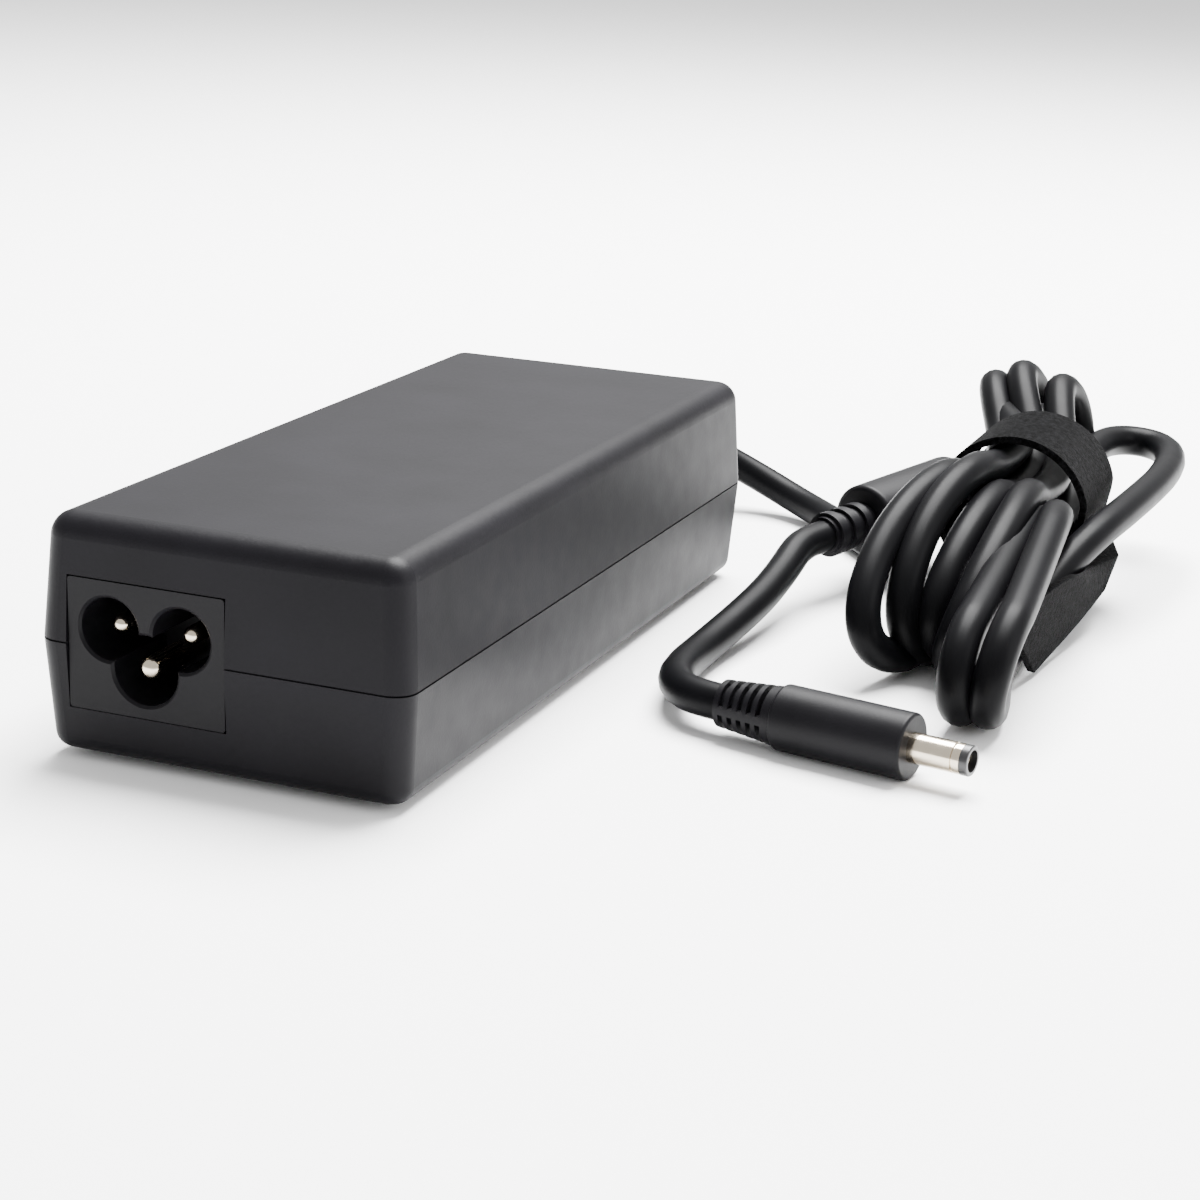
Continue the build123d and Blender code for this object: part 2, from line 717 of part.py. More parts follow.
with BuildPart() as cord_gland:
    # inner flange and neck through the case wall
    with BuildSketch(Plane.XZ.offset(-gland_inner_y)):
        with Locations((0, gland_z)):
            RectangleRounded(13, 11, 1.5)
    extrude(amount=-(shell_end_y - wall - 0.5 - gland_inner_y))
    with BuildSketch(Plane.XZ.offset(-gland_inner_y)):
        with Locations((0, gland_z)):
            Circle(gland_hole_radius - 0.1)
    extrude(amount=-(gland_collar_y - gland_inner_y))
    # collar and tapered sleeve
    with BuildSketch(Plane.YZ):
        with BuildLine():
            Polyline(
                (gland_collar_y, gland_z),
                (gland_collar_y, gland_z + 5.6),
                (gland_taper_y, gland_z + 5.6),
                (gland_taper_y, gland_z + gland_root_radius),
                (gland_end_y, gland_z + gland_tip_radius),
                (gland_end_y, gland_z),
                close=True,
            )
        make_face()
    revolve(axis=Axis((0, 0, gland_z), (0, 1, 0)))
    fillet(cord_gland.edges().sort_by(Axis.Y)[-1], 0.5)
    # slots that let the sleeve bend, alternately from the sides and from above and below
    for index in range(gland_slots):
        slot_y = gland_taper_y + 2.2 + index * gland_slot_pitch
        offset = 3.9 if index % 2 else 0
        side = 0 if index % 2 else 3.9
        for sign in (-1, 1):
            with BuildSketch(Plane.XZ.offset(-slot_y)):
                with Locations((sign * side, gland_z + sign * offset)):
                    Rectangle(3.0 if side else 7.0, 7.0 if side else 3.0)
            extrude(amount=-1.1, mode=Mode.SUBTRACT)
cord_gland.part.label = "cord_gland"
export_step(cord_gland.part, "parts/cord_gland.step")

# ---- cord from the gland to the hank ------------------------------------------------
exit_route = [
    (0, gland_end_y, gland_z),
    (0, 88.0, gland_z),
    (4.6, 97.0, 11.6),
    (15.0, 100.4, 6.0),
    (25.5, 96.3, 2.8),
    (35.2, 86.5, 2.6),
    (44.5, 75.6, 2.5),
    (52.8, 63.5, 2.6),
    (58.0, 50.0, 2.5),
    (59.5, 35.5, 2.6),
]
with BuildPart() as exit_cord:
    with BuildLine() as exit_line:
        cord_path(exit_route)
    with BuildSketch(end_plane(exit_route)):
        Circle(cord_radius)
    sweep(path=exit_line.line)
check_tube("exit_cord", exit_cord.part, exit_line.wire().length)
exit_cord.part.label = "exit_cord"
export_step(exit_cord.part, "parts/exit_cord.step")

# ---- hank of cord and its strap -----------------------------------------------------
waist_x = 68.6
waist_z = 16.2
waist_near_y = 58.0
waist_far_y = 79.0
waist_size = 20.0
# each section is (y, middle x, middle z, width, height)
hank_sections = [
    (-4.5, 79.5, 8.0, 11.0, 14.4),
    (4.0, 78.0, 10.8, 16.0, 20.8),
    (14.0, 71.2, 12.8, 29.5, 25.0),
    (40.0, 70.8, 14.6, 29.0, 28.6),
    (waist_near_y, waist_x, waist_z, waist_size, waist_size),
    (waist_far_y, waist_x, waist_z, waist_size, waist_size),
    (92.0, 65.5, 20.5, 16.0, 19.0),
    (103.0, 63.0, 20.5, 17.0, 20.0),
    (109.0, 62.5, 20.5, 9.0, 11.0),
]
with BuildPart() as cord_hank:
    for section_y, middle_x, middle_z, width, height in hank_sections:
        with BuildSketch(Plane.XZ.offset(-section_y)):
            with Locations((middle_x, middle_z)):
                RectangleRounded(width, height, 0.45 * min(width, height))
    loft(ruled=True)
cord_hank.part.label = "cord_hank"
export_step(cord_hank.part, "parts/cord_hank.step")

bow_route = [
    (71.6, 90.0, 16.4),
    (72.8, 99.5, 17.5),
    (73.6, 106.2, 17.9),
    (76.4, 110.9, 17.7),
    (80.8, 111.4, 17.4),
    (84.2, 107.8, 17.1),
    (85.6, 102.0, 16.8),
    (86.0, 95.4, 16.6),
    (86.0, 88.0, 16.5),
    (85.4, 79.0, 16.3),
    (84.2, 67.5, 15.8),
    (82.6, 58.0, 15.0),
    (80.2, 49.5, 12.4),
    (78.2, 41.0, 9.0),
]
with BuildPart() as cord_bow:
    with BuildLine() as bow_line:
        cord_path(bow_route)
    with BuildSketch(end_plane(bow_route)):
        Circle(cord_radius)
    sweep(path=bow_line.line)
check_tube("cord_bow", cord_bow.part, bow_line.wire().length)
cord_bow.part.label = "cord_bow"
export_step(cord_bow.part, "parts/cord_bow.step")

strap_thickness = 1.5
strap_inner_radius = 10.2
strap_width = waist_far_y - waist_near_y
tail_thickness = 1.1
tail_width = strap_width - 1.0
# each tail section is (middle of the band, direction across its width, rough heading)
tail_sections = [
    ((78.6, 68.5, 10.9), (0.0, 1.0, 0.0), (0.8, 0.0, -0.5)),
    ((83.4, 58.0, 10.0), (0.06, 0.97, -0.13), (0.6, -0.8, 0.0)),
    ((82.2, 38.4, 8.9), (0.02, 0.86, -0.51), (-0.1, -0.98, 0.0)),
    ((79.8, 21.0, 6.9), (0.02, 0.81, -0.58), (-0.1, -0.98, 0.0)),
]
with BuildPart() as cable_strap:
    with BuildSketch(Plane.XZ.offset(-waist_near_y)):
        with Locations((waist_x, waist_z)):
            Circle(strap_inner_radius + strap_thickness)
            Circle(strap_inner_radius, mode=Mode.SUBTRACT)
    extrude(amount=-strap_width)
    # free end of the strap, leaning out to the surface
    for middle, across, toward in tail_sections:
        width_dir = Vector(*across).normalized()
        heading = Vector(*toward) - width_dir * Vector(*toward).dot(width_dir)
        with BuildSketch(Plane(origin=middle, x_dir=width_dir, z_dir=heading)):
            Rectangle(tail_width, tail_thickness)
    loft(ruled=True)
cable_strap.part.label = "cable_strap"
export_step(cable_strap.part, "parts/cable_strap.step")

# ---- ferrite bead -------------------------------------------------------------------
bead_face = Vector(45.0, 62.5, 10.6)
bead_axis = Vector(0.36, 0.93, 0.06).normalized()
bead_length = 23.0
bead_radius = 5.75
bead_core_radius = 4.6
bead_skin = 1.2
relief_length = 10.0
relief_radius = 3.5
bead_plane = Plane(origin=bead_face, z_dir=bead_axis)
relief_end = bead_face - bead_axis * relief_length
bead_end = bead_face + bead_axis * bead_length

with BuildPart() as ferrite_core:
    with BuildSketch(bead_plane.offset(bead_skin)):
        Circle(bead_core_radius)
        Circle(cord_radius, mode=Mode.SUBTRACT)
    extrude(amount=bead_length - 2 * bead_skin)
ferrite_core.part.label = "ferrite_core"
export_step(ferrite_core.part, "parts/ferrite_core.step")

with BuildPart() as ferrite_cover:
    with BuildSketch(bead_plane):
        Circle(bead_radius)
    extrude(amount=bead_length)
    fillet(ferrite_cover.edges(), 0.8)
    with BuildSketch(bead_plane.offset(0.2)):
        Circle(cord_radius + 0.45)
    extrude(amount=-relief_length - 0.2)
    for rib in range(3):
        with BuildSketch(bead_plane.offset(-1.6 - 3.1 * rib)):
            Circle(relief_radius)
        extrude(amount=-1.5)
    with BuildSketch(bead_plane.offset(bead_skin)):
        Circle(bead_core_radius)
    extrude(amount=bead_length - 2 * bead_skin, mode=Mode.SUBTRACT)
    with BuildSketch(bead_plane.offset(-relief_length)):
        Circle(cord_radius)
    extrude(amount=relief_length + bead_length, mode=Mode.SUBTRACT)
ferrite_cover.part.label = "ferrite_cover"
export_step(ferrite_cover.part, "parts/ferrite_cover.step")

ferrite_route = [
    tuple(bead_end),
    tuple(bead_end + bead_axis * 5),
    (58.4, 95.5, 14.2),
]
with BuildPart() as ferrite_lead:
    with BuildLine() as ferrite_line:
        cord_path(ferrite_route)
    with BuildSketch(end_plane(ferrite_route)):
        Circle(cord_radius)
    sweep(path=ferrite_line.line)
    # the straight stretch inside the bead
    with BuildSketch(bead_plane.offset(-relief_length)):
        Circle(cord_radius)
    extrude(amount=relief_length + bead_length)
ferrite_lead_length = ferrite_line.wire().length + relief_length + bead_length
check_tube("ferrite_lead", ferrite_lead.part, ferrite_lead_length)
ferrite_lead.part.label = "ferrite_lead"
export_step(ferrite_lead.part, "parts/ferrite_lead.step")

# ---- barrel plug --------------------------------------------------------------------
plug_radius = 4.4
plug_start = Vector(48.7, -13.4, plug_radius)
plug_axis = Vector(0.983, -0.185, 0).normalized()
relief_sleeve_length = 8.6
relief_rear_radius = 3.2
relief_front_radius = 4.0
relief_slot_pitch = 1.45
relief_slot_width = 0.75
relief_slots = 5
relief_bar = 1.1
plug_length = 27.3
barrel_length = 7.1
barrel_radius = 2.0
barrel_bore_radius = 1.65
barrel_groove_depth = 0.2
barrel_groove_width = 0.3
tip_length = 1.1
tip_radius = barrel_radius
insulator_bore_radius = 1.45
sleeve_bore_radius = 1.2
sleeve_recess = 0.9
contact_radius = 0.3
contact_recess = 0.6
plug_plane = Plane(origin=plug_start, z_dir=plug_axis, x_dir=(0, 0, 1))
plug_face_plane = plug_plane.offset(plug_length)

with BuildPart() as plug_relief:
    with BuildSketch(plug_plane):
        Circle(relief_rear_radius)
    with BuildSketch(plug_plane.offset(relief_sleeve_length)):
        Circle(relief_front_radius)
    loft()
    # slots above and below, with a bar left along each side
    for index in range(relief_slots):
        with BuildSketch(plug_plane.offset(0.8 + relief_slot_pitch * index)):
            for side in (-1, 1):
                with Locations((side * (plug_radius + relief_bar) / 2, 0)):
                    Rectangle(plug_radius, 2 * plug_radius)
            Circle(cord_radius + 0.1, mode=Mode.SUBTRACT)
        extrude(amount=relief_slot_width, mode=Mode.SUBTRACT)
plug_relief.part.label = "plug_relief"
export_step(plug_relief.part, "parts/plug_relief.step")

with BuildPart() as plug_body:
    with BuildSketch(plug_plane.offset(relief_sleeve_length)):
        Circle(plug_radius)
    extrude(amount=plug_length - relief_sleeve_length)
    fillet(plug_body.edges(), 0.5)
plug_body.part.label = "plug_body"
export_step(plug_body.part, "parts/plug_body.step")

with BuildPart() as plug_barrel:
    with BuildSketch(plug_face_plane):
        Circle(barrel_radius)
        Circle(barrel_bore_radius, mode=Mode.SUBTRACT)
    extrude(amount=barrel_length)
    with BuildSketch(plug_face_plane.offset(barrel_length - 1.2)):
        Circle(barrel_radius + 0.1)
        Circle(barrel_radius - barrel_groove_depth, mode=Mode.SUBTRACT)
    extrude(amount=barrel_groove_width, mode=Mode.SUBTRACT)
plug_barrel.part.label = "plug_barrel"
export_step(plug_barrel.part, "parts/plug_barrel.step")

with BuildPart() as plug_insulator:
    with BuildSketch(plug_face_plane):
        Circle(barrel_bore_radius)
    extrude(amount=barrel_length)
    with BuildSketch(plug_face_plane.offset(barrel_length)):
        Circle(tip_radius)
    extrude(amount=tip_length)
    fillet(plug_insulator.faces().filter_by(GeomType.PLANE).sort_by(Axis(plug_start, plug_axis))[-1].edges(), 0.25)
    with BuildSketch(plug_face_plane):
        Circle(insulator_bore_radius)
    extrude(amount=barrel_length + tip_length, mode=Mode.SUBTRACT)
plug_insulator.part.label = "plug_insulator"
export_step(plug_insulator.part, "parts/plug_insulator.step")

with BuildPart() as plug_inner_sleeve:
    with BuildSketch(plug_face_plane):
        Circle(insulator_bore_radius)
        Circle(sleeve_bore_radius, mode=Mode.SUBTRACT)
    extrude(amount=barrel_length + tip_length - sleeve_recess)
plug_inner_sleeve.part.label = "plug_inner_sleeve"
export_step(plug_inner_sleeve.part, "parts/plug_inner_sleeve.step")

with BuildPart() as plug_center_pin:
    with BuildSketch(plug_face_plane):
        Circle(contact_radius)
    extrude(amount=barrel_length + tip_length - contact_recess)
plug_center_pin.part.label = "plug_center_pin"
export_step(plug_center_pin.part, "parts/plug_center_pin.step")

plug_route = [
    tuple(relief_end),
    tuple(relief_end - bead_axis * 6),
    (39.2, 40.5, 7.6),
    (39.0, 32.0, 5.9),
    (38.2, 24.0, 4.6),
    (37.3, 16.5, 3.5),
    (36.8, 9.5, 2.9),
    (37.2, 2.2, 3.2),
    (38.6, -4.6, 3.8),
    (41.0, -9.6, 4.2),
    tuple(plug_start - plug_axis * 4.2),
    tuple(plug_start),
]
with BuildPart() as plug_lead:
    with BuildLine() as plug_line:
        cord_path(plug_route)
    with BuildSketch(end_plane(plug_route)):
        Circle(cord_radius)
    sweep(path=plug_line.line)
check_tube("plug_lead", plug_lead.part, plug_line.wire().length)
plug_lead.part.label = "plug_lead"
export_step(plug_lead.part, "parts/plug_lead.step")
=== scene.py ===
"""Looks of the laptop power adapter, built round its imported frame.

Units are metres, except that the cord and the strap are laid out in millimetres.
"""
from math import cos, pi, radians, sin
import json

import bmesh
import bpy
from mathutils import Matrix, Vector


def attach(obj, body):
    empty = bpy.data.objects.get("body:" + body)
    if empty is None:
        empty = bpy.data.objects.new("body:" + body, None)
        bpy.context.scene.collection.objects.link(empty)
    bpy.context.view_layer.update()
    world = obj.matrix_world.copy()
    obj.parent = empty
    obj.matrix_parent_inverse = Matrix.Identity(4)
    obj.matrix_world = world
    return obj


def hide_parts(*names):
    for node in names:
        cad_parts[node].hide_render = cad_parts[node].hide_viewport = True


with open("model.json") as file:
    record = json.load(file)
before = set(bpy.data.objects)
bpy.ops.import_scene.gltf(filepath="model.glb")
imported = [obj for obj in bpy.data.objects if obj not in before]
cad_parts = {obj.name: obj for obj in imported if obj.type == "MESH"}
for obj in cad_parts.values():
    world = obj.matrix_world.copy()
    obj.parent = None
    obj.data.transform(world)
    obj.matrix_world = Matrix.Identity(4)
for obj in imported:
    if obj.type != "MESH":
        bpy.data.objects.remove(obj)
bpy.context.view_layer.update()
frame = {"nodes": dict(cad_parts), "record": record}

MM = 0.001
CORD_DIAMETER = 0.005
CORD_RADIUS = CORD_DIAMETER / 2


# ---- camera -------------------------------------------------------------------------
CAMERA_TARGET = Vector((20.082, 13.824, 7.103)) * MM
CAMERA_AZIMUTH = radians(21.353)
CAMERA_ELEVATION = radians(16.759)
CAMERA_ROLL = radians(2.053)
CAMERA_DISTANCE = 368.02 * MM
LENS = 76.68
SENSOR = 36.0


def make_camera():
    """The photograph's viewing angle, with no depth of field."""
    flat = cos(CAMERA_ELEVATION)
    back = Vector((sin(CAMERA_AZIMUTH) * flat, -cos(CAMERA_AZIMUTH) * flat, sin(CAMERA_ELEVATION)))
    level = Vector((cos(CAMERA_AZIMUTH), sin(CAMERA_AZIMUTH), 0))
    upright = back.cross(level)
    right = level * cos(CAMERA_ROLL) + upright * sin(CAMERA_ROLL)
    up = upright * cos(CAMERA_ROLL) - level * sin(CAMERA_ROLL)
    data = bpy.data.cameras.new("camera")
    data.lens = LENS
    data.sensor_width = SENSOR
    data.clip_start = 0.01
    camera = bpy.data.objects.new("camera", data)
    place = Matrix((right, up, back)).transposed().to_4x4()
    place.translation = CAMERA_TARGET + back * CAMERA_DISTANCE
    camera.matrix_world = place
    bpy.context.scene.collection.objects.link(camera)
    bpy.context.scene.camera = camera


make_camera()


# ---- materials ----------------------------------------------------------------------
def new_material(name, color, roughness, metallic=0.0, specular=0.5):
    """A principled material, its nodes and its shader."""
    material = bpy.data.materials.new(name)
    material.use_nodes = True
    tree = material.node_tree
    shader = tree.nodes["Principled BSDF"]
    shader.inputs["Base Color"].default_value = (*color, 1)
    shader.inputs["Roughness"].default_value = roughness
    shader.inputs["Metallic"].default_value = metallic
    shader.inputs["Specular IOR Level"].default_value = specular
    return material, tree, shader


def noise(tree, scale, detail=3.0):
    """The factor of a noise texture, scaled in the object's own metres."""
    place = tree.nodes.new("ShaderNodeTexCoord")
    texture = tree.nodes.new("ShaderNodeTexNoise")
    texture.inputs["Scale"].default_value = scale
    texture.inputs["Detail"].default_value = detail
    tree.links.new(place.outputs["Object"], texture.inputs["Vector"])
    return texture.outputs["Fac"]


def ramp(tree, factor, low, high, start=0.3, end=0.7):
    """Spread a factor between two colours."""
    node = tree.nodes.new("ShaderNodeValToRGB")
    node.color_ramp.elements[0].position = start
    node.color_ramp.elements[0].color = (*low, 1)
    node.color_ramp.elements[1].position = end
    node.color_ramp.elements[1].color = (*high, 1)
    tree.links.new(factor, node.inputs["Fac"])
    return node.outputs["Color"]


def bump(tree, shader, factor, strength, distance):
    """Drive the surface's bump from a factor, over any bump already there."""
    node = tree.nodes.new("ShaderNodeBump")
    node.inputs["Strength"].default_value = strength
    node.inputs["Distance"].default_value = distance
    tree.links.new(factor, node.inputs["Height"])
    if shader.inputs["Normal"].is_linked:
        tree.links.new(shader.inputs["Normal"].links[0].from_socket, node.inputs["Normal"])
    tree.links.new(node.outputs["Normal"], shader.inputs["Normal"])


def moulded(name, color, roughness, grain=2600.0, depth=0.00003, strength=0.35, specular=0.5):
    """Moulded plastic or rubber with a fine grain, whose colour and gloss vary a little."""
    material, tree, shader = new_material(name, color, roughness, specular=specular)
    dark = tuple(c * 0.8 for c in color)
    light = tuple(c * 1.25 for c in color)
    tree.links.new(ramp(tree, noise(tree, 60.0), dark, light), shader.inputs["Base Color"])
    rough_low = (roughness - 0.02,) * 3
    rough_high = (roughness + 0.03,) * 3
    tree.links.new(ramp(tree, noise(tree, 240.0), rough_low, rough_high), shader.inputs["Roughness"])
    bump(tree, shader, noise(tree, grain, 2.0), strength, depth)
    return material


def metal(name, color, roughness):
    """Metal whose polish varies a little."""
    material, tree, shader = new_material(name, color, roughness, metallic=1.0)
    rough_low = (max(roughness - 0.05, 0.02),) * 3
    rough_high = (roughness + 0.08,) * 3
    tree.links.new(ramp(tree, noise(tree, 900.0), rough_low, rough_high), shader.inputs["Roughness"])
    bump(tree, shader, noise(tree, 1500.0, 2.0), strength=0.05, distance=0.00002)
    return material


def pile_fabric(name, color):
    """Brushed hook-and-loop fabric: mottling, bumps and a soft sheen stand in for its pile."""
    material, tree, shader = new_material(name, color, 0.95, specular=0.02)
    shader.inputs["Sheen Weight"].default_value = 0.015
    shader.inputs["Sheen Roughness"].default_value = 0.5
    dark = tuple(c * 0.2 for c in color)
    light = tuple(c * 5.0 for c in color)
    mottling = ramp(tree, noise(tree, 1500.0), dark, light, start=0.42, end=0.68)
    tree.links.new(mottling, shader.inputs["Base Color"])
    bump(tree, shader, noise(tree, 2600.0, 4.0), strength=1.0, distance=0.0005)
    bump(tree, shader, noise(tree, 800.0, 3.0), strength=0.8, distance=0.0004)
    return material


SLOT_MATERIALS = {
    "case_plastic": moulded("case_plastic", (0.0042, 0.0039, 0.0050), 0.46, specular=0.07),
    "inlet_plastic": moulded("inlet_plastic", (0.0040, 0.0038, 0.0046), 0.42, specular=0.08),
    "foot_rubber": moulded("foot_rubber", (0.05, 0.05, 0.055), 0.7),
    "contact_nickel": metal("contact_nickel", (0.56, 0.49, 0.39), 0.16),
    "board_laminate": moulded("board_laminate", (0.25, 0.19, 0.08), 0.5),
    "insulating_film": moulded("insulating_film", (0.80, 0.80, 0.76), 0.3),
    "wire_insulation": moulded("wire_insulation", (0.12, 0.05, 0.04), 0.4),
    "component_black": moulded("component_black", (0.03, 0.03, 0.03), 0.5),
    "component_blue": moulded("component_blue", (0.05, 0.16, 0.45), 0.35),
    "component_yellow": moulded("component_yellow", (0.75, 0.55, 0.10), 0.35),
    "ferrite_ceramic": moulded("ferrite_ceramic", (0.08, 0.08, 0.08), 0.6),
    "copper_winding": metal("copper_winding", (0.72, 0.32, 0.14), 0.3),
    "capacitor_can": moulded("capacitor_can", (0.05, 0.05, 0.09), 0.35),
    "heatsink_aluminium": metal("heatsink_aluminium", (0.75, 0.75, 0.77), 0.35),
    "pad_silicone": moulded("pad_silicone", (0.45, 0.46, 0.48), 0.7),
    "cord_jacket": moulded(
        "cord_jacket", (0.0022, 0.0022, 0.0026), 0.40, grain=1800.0, strength=0.12, specular=0.04
    ),
    "strap_fabric": pile_fabric("strap_fabric", (0.0010, 0.0010, 0.0011)),
    "overmould": moulded(
        "overmould", (0.0036, 0.0034, 0.0042), 0.44, grain=3000.0, strength=0.3, specular=0.08
    ),
    "tip_insulator": moulded("tip_insulator", (0.006, 0.006, 0.0065), 0.35, strength=0.1),
}


def dress_frame():
    """Give every CAD node the material of its slot in the record."""
    for part in frame["record"]["subparts"]:
        node = frame["nodes"][part["node"]]
        node.data.materials.clear()
        node.data.materials.append(SLOT_MATERIALS[part["material_slot"]])


dress_frame()


# ---- cord ---------------------------------------------------------------------------
# every route is a list of control points in millimetres, and the cord bends smoothly between them

# the strap's middle (x, z), and how far back its near and far mouths are
STRAP_X, STRAP_Z = 68.6, 16.2
STRAP_NEAR_Y, STRAP_FAR_Y = 58.0, 79.0
# the height of a near fold's foot, where the cord lies on the surface
FOOT_Z = 2.7
FOLD_STEPS = 7

EXIT_ROUTE = [
    (0, 80.5, 15.5),
    (0, 88.0, 15.5),
    (4.6, 97.0, 11.6),
    (15.0, 100.4, 6.0),
    (25.5, 96.3, 2.8),
    (35.2, 86.5, 2.6),
    (44.5, 75.6, 2.5),
    (52.8, 63.5, 2.6),
    (58.0, 50.0, 2.5),
    (61.2, 38.0, 2.6),
]
BOW_ROUTE = [
    (71.6, 90.0, 16.4),
    (72.8, 99.5, 17.5),
    (73.6, 106.2, 17.9),
    (76.4, 110.9, 17.7),
    (80.8, 111.4, 17.4),
    (84.2, 107.8, 17.1),
    (85.6, 102.0, 16.8),
    (86.0, 95.4, 16.6),
    (86.0, 88.0, 16.5),
    (85.4, 79.0, 16.3),
    (84.2, 67.5, 15.8),
    (82.6, 58.0, 15.0),
    (80.2, 49.5, 12.4),
    (78.2, 41.0, 9.0),
    (76.8, 31.0, 5.0),
    (76.8, 20.0, 2.8),
]
BEAD_FACE = Vector((45.0, 62.5, 10.6))
BEAD_AXIS = Vector((0.36, 0.93, 0.06)).normalized()
BEAD_LENGTH = 23.0
RELIEF_LENGTH = 10.0
STRAIGHT_PAST_RELIEF = 6.0
STRAIGHT_INTO_PLUG = 4.2
PLUG_START = Vector((48.7, -13.4, 4.4))
PLUG_AXIS = Vector((0.983, -0.185, 0)).normalized()
BEAD_END = BEAD_FACE + BEAD_AXIS * BEAD_LENGTH
RELIEF_END = BEAD_FACE - BEAD_AXIS * RELIEF_LENGTH
FERRITE_ROUTE = [tuple(BEAD_END), tuple(RELIEF_END)]
PLUG_ROUTE = [
    tuple(RELIEF_END - BEAD_AXIS * STRAIGHT_PAST_RELIEF),
    (39.2, 40.5, 7.6),
    (39.0, 32.0, 5.9),
    (38.2, 24.0, 4.6),
    (37.3, 16.5, 3.5),
    (36.8, 9.5, 2.9),
    (37.2, 2.2, 3.2),
    (38.6, -4.6, 3.8),
    (41.0, -9.6, 4.2),
    tuple(PLUG_START - PLUG_AXIS * STRAIGHT_INTO_PLUG),
    tuple(PLUG_START),
]

# near folds, left to right: base (x, y), crest (x, y, z), reach (x, y), the place passed on the
# way back if there is one, then the lower (if it comes in there) and upper places in the strap,
# both (x, z) from the strap's middle
NEAR_FOLDS = {
    "A": ((64.0, 24.0), (63.0, 46.0, 24.9), (-5.2, -18.3), None, None, (-5.1, 2.8)),
    "B": ((66.6, 29.0), (66.3, 46.0, 25.8), (-3.6, -16.2), None, (-4.9, -5.4), (-2.55, 6.6)),
    "C": ((67.5, 33.0), (69.7, 46.0, 22.0), (-0.9, -18.0), None, (-2.4, -1.4), (0.0, 2.2)),
    "D": ((69.4, 28.0), (74.0, 46.0, 22.8), (1.1, -19.7), None, (0.0, -7.0), (4.0, 2.6)),
    "E": ((76.4, 5.0), (76.4, 8.0, 15.0), (-0.2, -7.8), (75.4, 45.0, 20.4), (5.0, -5.4), (2.4, -1.6)),
    "F": ((79.9, 5.5), (81.8, 8.5, 15.8), (0.2, -8.2), (79.4, 43.0, 22.0), None, (6.6, -3.0)),
}
# far folds: crest (x, y, z), reach (x, y), base (x, y, z)
FAR_FOLDS = {
    "A": ((56.4, 95.0, 28.0), (-0.5, 11.0), (60.0, 94.0, 10.6)),
    "B": ((59.0, 91.0, 24.5), (0.0, 10.5), (63.0, 92.0, 9.6)),
    "C": ((60.4, 96.0, 30.0), (0.5, 11.0), (65.6, 94.0, 10.0)),
    "D": ((67.2, 95.0, 28.6), (1.0, 10.5), (70.4, 93.0, 10.4)),
    "F": ((65.8, 90.0, 24.0), (-1.0, 11.0), (56.2, 90.5, 12.4)),
}


def between(start, end, share):
    """The point a share of the way from start to end."""
    return tuple(a + (b - a) * share for a, b in zip(start, end))


def fold(start, end, reach):
    """Points round a fold, from start to end, bulging by reach at its middle."""
    points = []
    for step in range(FOLD_STEPS):
        angle = pi * (step / (FOLD_STEPS - 1) - 0.5)
        bulge = cos(angle)
        share = (1 + sin(angle)) / 2
        middle = between(start, end, share)
        points.append((middle[0] + reach[0] * bulge, middle[1] + reach[1] * bulge, middle[2]))
    return points


def strap_place(place, y):
    """Where a strand passes a mouth of the strap."""
    return (STRAP_X + place[0], y, STRAP_Z + place[1])


def near_fold(name):
    """A turn's near fold: out of the strap if it passed low through it, round, up and back in."""
    base, crest, reach, over, low, high = NEAR_FOLDS[name]
    foot = (base[0], base[1], FOOT_Z)
    points = []
    if low:
        mouth = strap_place(low, STRAP_NEAR_Y)
        points = [mouth, between(mouth, foot, 0.5)]
    points += fold(foot, crest, reach)
    if over:
        points += [between(crest, over, 0.5), over]
    return points + [strap_place(high, STRAP_NEAR_Y)]


def far_fold(name, next_name):
    """A turn's far fold: out of the strap's far mouth, over, down, and back in if a turn follows."""
    crest, reach, base = FAR_FOLDS[name]
    high = NEAR_FOLDS[name][5]
    points = [strap_place(high, STRAP_FAR_Y)] + fold(crest, base, reach)
    if next_name:
        points.append(strap_place(NEAR_FOLDS[next_name][4], STRAP_FAR_Y))
    return points


def cord_points():
    """The whole cord's control points, from the gland to the plug."""
    points = list(EXIT_ROUTE)
    for name, next_name in (("A", "B"), ("B", "C"), ("C", "D"), ("D", "E")):
        points += near_fold(name) + far_fold(name, next_name)
    points += near_fold("E")
    points.append(strap_place(NEAR_FOLDS["E"][5], STRAP_FAR_Y))
    points += BOW_ROUTE + near_fold("F") + far_fold("F", None)
    return points + FERRITE_ROUTE + PLUG_ROUTE


def make_cord(name, points, radius):
    """One open, smooth cord drawn by control points in millimetres."""
    data = bpy.data.curves.new(name, "CURVE")
    data.dimensions = "3D"
    spline = data.splines.new("NURBS")
    spline.points.add(len(points) - 1)
    for target, point in zip(spline.points, points):
        target.co = (*(Vector(point) * MM), 1)
    spline.order_u = 3
    spline.use_endpoint_u = True
    spline.resolution_u = 8
    data.bevel_depth = radius
    data.bevel_resolution = 6
    data.use_fill_caps = True
    piece = bpy.data.objects.new(name, data)
    bpy.context.scene.collection.objects.link(piece)
    return piece


cord = make_cord("output_cord", cord_points(), CORD_RADIUS)
cord.data.materials.append(SLOT_MATERIALS["cord_jacket"])
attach(cord, "root")
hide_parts("exit_cord", "cord_hank", "cord_bow", "ferrite_lead", "plug_lead")


# ---- strap --------------------------------------------------------------------------
STRAP_WIDTH = 0.0205
STRAP_RADIUS = 0.0108
STRAP_THICKNESS = 0.0011
STRAP_SAMPLES = 56
STRAP_POINTS_ACROSS = 9
# degrees round the hank, and how much further out the wrap ends than it starts
WRAP_START = 358
WRAP_TURN = 350
WRAP_RISE = 0.0009
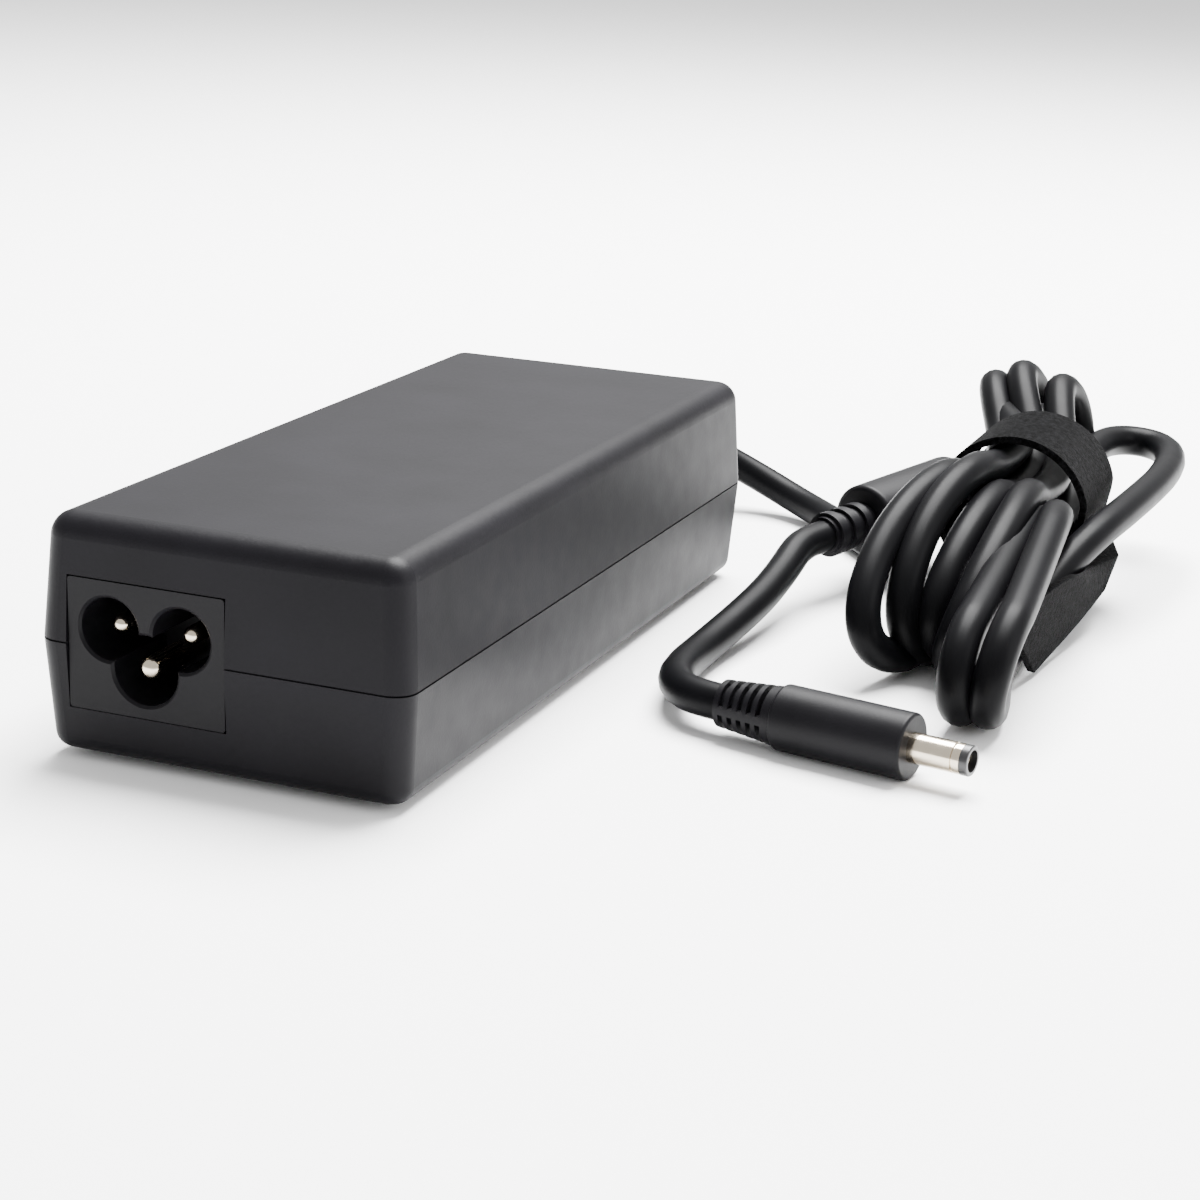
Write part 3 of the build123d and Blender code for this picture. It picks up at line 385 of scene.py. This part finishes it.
# the free end: the middle of each section in millimetres, and the way it runs across the band
TAIL_SECTIONS = [
    (Vector((78.6, 68.5, 10.9)), Vector((0.0, 1.0, 0.0))),
    (Vector((81.2, 65.5, 9.7)), Vector((0.02, 1.0, -0.03))),
    (Vector((83.4, 58.0, 10.0)), Vector((0.06, 0.97, -0.13))),
    (Vector((83.4, 48.5, 9.7)), Vector((0.05, 0.93, -0.34))),
    (Vector((82.2, 38.4, 8.9)), Vector((0.02, 0.86, -0.51))),
    (Vector((80.6, 29.0, 7.4)), Vector((0.02, 0.84, -0.54))),
    (Vector((79.8, 21.0, 6.9)), Vector((0.02, 0.81, -0.58))),
]


def band_mesh(name, rows):
    """A thin band from rows of points across it, thickened and with softened edges."""
    mesh = bpy.data.meshes.new(name)
    build = bmesh.new()
    verts = [[build.verts.new(point) for point in row] for row in rows]
    for row, after in zip(verts, verts[1:]):
        for a, b, c, d in zip(row, row[1:], after[1:], after):
            build.faces.new((a, b, c, d))
    bmesh.ops.recalc_face_normals(build, faces=build.faces)
    build.to_mesh(mesh)
    build.free()
    piece = bpy.data.objects.new(name, mesh)
    bpy.context.scene.collection.objects.link(piece)
    thicken = piece.modifiers.new("thickness", "SOLIDIFY")
    thicken.thickness = STRAP_THICKNESS
    thicken.offset = 0
    soften = piece.modifiers.new("edges", "BEVEL")
    soften.width = STRAP_THICKNESS * 0.35
    soften.segments = 2
    smooth = piece.modifiers.new("smooth", "SUBSURF")
    smooth.levels = 1
    smooth.render_levels = 1
    for polygon in mesh.polygons:
        polygon.use_smooth = True
    return piece


def strap_rows():
    """One wrap round the hank, then the free end leaning out towards the surface."""
    middle = Vector((STRAP_X, (STRAP_NEAR_Y + STRAP_FAR_Y) / 2, STRAP_Z)) * MM
    shares = [k / (STRAP_POINTS_ACROSS - 1) - 0.5 for k in range(STRAP_POINTS_ACROSS)]
    rows = []
    for index in range(STRAP_SAMPLES):
        share = index / (STRAP_SAMPLES - 1)
        angle = radians(WRAP_START - WRAP_TURN * share)
        radius = STRAP_RADIUS + WRAP_RISE * share**3
        center = middle + Vector((cos(angle), 0, sin(angle))) * radius
        rows.append([center + Vector((0, STRAP_WIDTH * k, 0)) for k in shares])
    for place, direction in TAIL_SECTIONS:
        unit = direction.normalized()
        rows.append([place * MM + unit * STRAP_WIDTH * k for k in shares])
    return rows


strap = band_mesh("hook_and_loop_strap", strap_rows())
strap.data.materials.append(SLOT_MATERIALS["strap_fabric"])
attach(strap, "root")
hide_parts("cable_strap")


# ---- floor and light ----------------------------------------------------------------
FLOOR_REACH = 4.0
ROOM_BRIGHTNESS = 1.15


def make_floor():
    """A plain white floor."""
    material, tree, shader = new_material("studio_white", (0.97, 0.97, 0.97), 0.6, specular=0.1)
    mesh = bpy.data.meshes.new("floor")
    build = bmesh.new()
    bmesh.ops.create_grid(build, x_segments=1, y_segments=1, size=FLOOR_REACH)
    build.to_mesh(mesh)
    build.free()
    floor = bpy.data.objects.new("floor", mesh)
    mesh.materials.append(material)
    bpy.context.scene.collection.objects.link(floor)


def area_light(name, place, target, size, power):
    """A soft square light aimed at a target."""
    data = bpy.data.lights.new(name, "AREA")
    data.size = size
    data.energy = power
    light = bpy.data.objects.new(name, data)
    light.location = place
    light.rotation_euler = (Vector(target) - Vector(place)).to_track_quat("-Z", "Y").to_euler()
    bpy.context.scene.collection.objects.link(light)


def make_lights():
    """A white room, an overhead softbox behind the object and one low on the right."""
    world = bpy.data.worlds.new("studio")
    world.use_nodes = True
    background = world.node_tree.nodes["Background"]
    background.inputs["Color"].default_value = (1, 1, 1, 1)
    background.inputs["Strength"].default_value = ROOM_BRIGHTNESS
    bpy.context.scene.world = world
    area_light("overhead", place=(0.05, 0.35, 0.75), target=(0.02, 0.02, 0), size=0.6, power=62.0)
    area_light("right_side", place=(0.8, 0.05, 0.35), target=(0.03, 0.02, 0.01), size=0.5, power=4.0)


make_floor()
make_lights()
